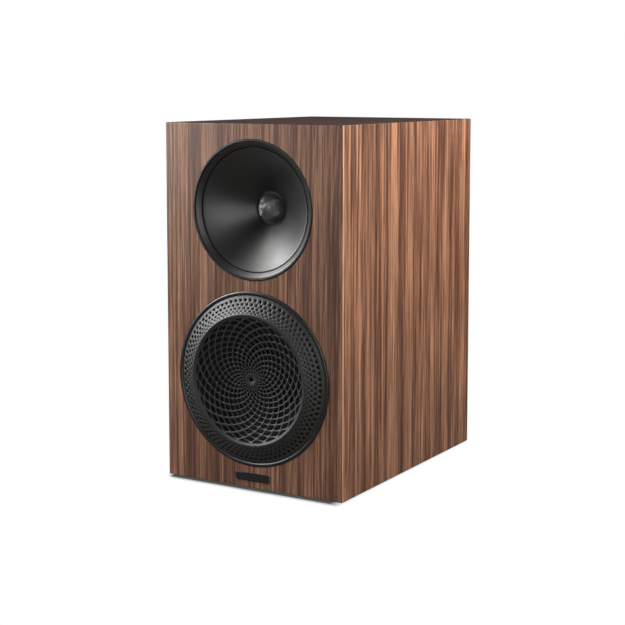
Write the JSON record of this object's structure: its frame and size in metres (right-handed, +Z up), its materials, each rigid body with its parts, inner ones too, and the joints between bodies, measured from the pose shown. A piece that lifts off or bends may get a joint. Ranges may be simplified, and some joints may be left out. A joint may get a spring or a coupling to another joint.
{
  "type": "bookshelf speaker",
  "caption": "Upright rectangular wooden loudspeaker with a round waveguide tweeter above a round woofer behind a perforated lens, rear reflex port and screw-down binding posts.",
  "frame": {"origin": "middle of the underside of the object's box, level with the soles of the feet", "axes": "+Z up; the drivers face -Y, the port and terminals face +Y; +X is to the right when facing the drivers"},
  "size_m": [0.2, 0.3072, 0.3545],
  "materials": {
    "walnut_veneer": "satin open-grained walnut",
    "dark_veneer": "satin dark brown",
    "black_board": "matt black laminate",
    "raw_board": "raw fibreboard",
    "satin_black": "satin black moulded plastic",
    "badge_black": "polished black, blank",
    "lens_black": "satin black powder coat",
    "guard_mesh": "fine black wire mesh",
    "foot_rubber": "matt black rubber",
    "surround_rubber": "matt moulded rubber",
    "dome_cloth": "coated fabric",
    "cone_paper": "pressed black fibre",
    "spider_cloth": "corrugated resin-treated cloth",
    "frame_steel": "black painted pressed steel",
    "motor_steel": "zinc plated steel",
    "ferrite": "dull sintered ferrite",
    "copper_wire": "lacquered copper wire",
    "screw_steel": "black oxide steel",
    "black_moulding": "fine-grained black moulding",
    "gold_plate": "polished gold plate",
    "red_knob": "glossy red",
    "black_knob": "glossy black",
    "terminal_board": "resin-bonded paper board",
    "capacitor_film": "blue film",
    "lead_sleeve": "flexible insulation",
    "wadding": "loose white fibre"
  },
  "bodies": {
    "cabinet": {"front_baffle": "walnut_veneer", "left_panel": "walnut_veneer", "right_panel": "walnut_veneer", "top_panel": "dark_veneer", "bottom_panel": "dark_veneer", "rear_panel": "black_board", "cross_brace": "raw_board", "tweeter_trim_ring": "satin_black", "tweeter_waveguide": "satin_black", "woofer_trim_ring": "satin_black", "badge_plate": "badge_black", "woofer_lens": "lens_black", "tweeter_mesh_guard": "guard_mesh", "foot_front_left": "foot_rubber", "foot_front_right": "foot_rubber", "foot_rear_left": "foot_rubber", "foot_rear_right": "foot_rubber", "woofer_surround": "surround_rubber", "tweeter_surround": "surround_rubber", "woofer_spider": "spider_cloth", "woofer_basket": "frame_steel", "woofer_front_plate": "motor_steel", "woofer_yoke": "motor_steel", "tweeter_front_plate": "motor_steel", "tweeter_yoke": "motor_steel", "woofer_magnet": "ferrite", "tweeter_magnet": "ferrite", "inductor_large": "copper_wire", "inductor_small": "copper_wire", "woofer_screw_1": "screw_steel", "woofer_screw_2": "screw_steel", "woofer_screw_3": "screw_steel", "woofer_screw_4": "screw_steel", "tweeter_screw_1": "screw_steel", "tweeter_screw_2": "screw_steel", "tweeter_screw_3": "screw_steel", "terminal_screw_1": "screw_steel", "terminal_screw_2": "screw_steel", "terminal_screw_3": "screw_steel", "terminal_screw_4": "screw_steel", "tweeter_rear_chamber": "black_moulding", "port_tube": "black_moulding", "terminal_plate": "black_moulding", "red_post_stud": "gold_plate", "black_post_stud": "gold_plate", "woofer_terminal_strip": "terminal_board", "crossover_board": "terminal_board", "capacitor": "capacitor_film", "woofer_lead": "lead_sleeve", "tweeter_lead": "lead_sleeve", "acoustic_wadding": "wadding"},
    "woofer_diaphragm": {"woofer_cone": "cone_paper", "woofer_dust_cap": "cone_paper", "woofer_voice_coil": "copper_wire"},
    "tweeter_diaphragm": {"tweeter_dome": "dome_cloth", "tweeter_voice_coil": "copper_wire"},
    "red_collar": {"red_post_collar": "gold_plate"},
    "red_knob": {"red_post_knob": "red_knob"},
    "black_collar": {"black_post_collar": "gold_plate"},
    "black_knob": {"black_post_knob": "black_knob"}
  },
  "joints": [
    {"name": "woofer_cone_travel", "type": "slide", "parent": "cabinet", "child": "woofer_diaphragm", "axis": [0, -1, 0], "range_m": [-0.005, 0.005], "stiffness_N_per_m": 1200, "deforming": ["woofer_surround", "woofer_spider"]},
    {"name": "tweeter_dome_travel", "type": "slide", "parent": "cabinet", "child": "tweeter_diaphragm", "axis": [0, -1, 0], "range_m": [-0.0005, 0.0005], "stiffness_N_per_m": 800, "deforming": ["tweeter_surround"]},
    {"name": "red_collar_slide", "type": "slide", "parent": "cabinet", "child": "red_collar", "axis": [0, 1, 0], "range_m": [0, 0.004]},
    {"name": "red_knob_turn", "type": "hinge", "parent": "red_collar", "child": "red_knob", "pos_m": [0.0095, 0.14465, 0.0825], "axis": [0, 1, 0], "range_deg": [0, 1440]},
    {"name": "black_collar_slide", "type": "slide", "parent": "cabinet", "child": "black_collar", "axis": [0, 1, 0], "range_m": [0, 0.004]},
    {"name": "black_knob_turn", "type": "hinge", "parent": "black_collar", "child": "black_knob", "pos_m": [-0.0095, 0.14465, 0.0825], "axis": [0, 1, 0], "range_deg": [0, 1440]}
  ],
  "couplings": [
    {"joint": "red_knob_turn", "follows": "red_collar_slide", "rad_per_m": 6283},
    {"joint": "black_knob_turn", "follows": "black_collar_slide", "rad_per_m": 6283}
  ]
}
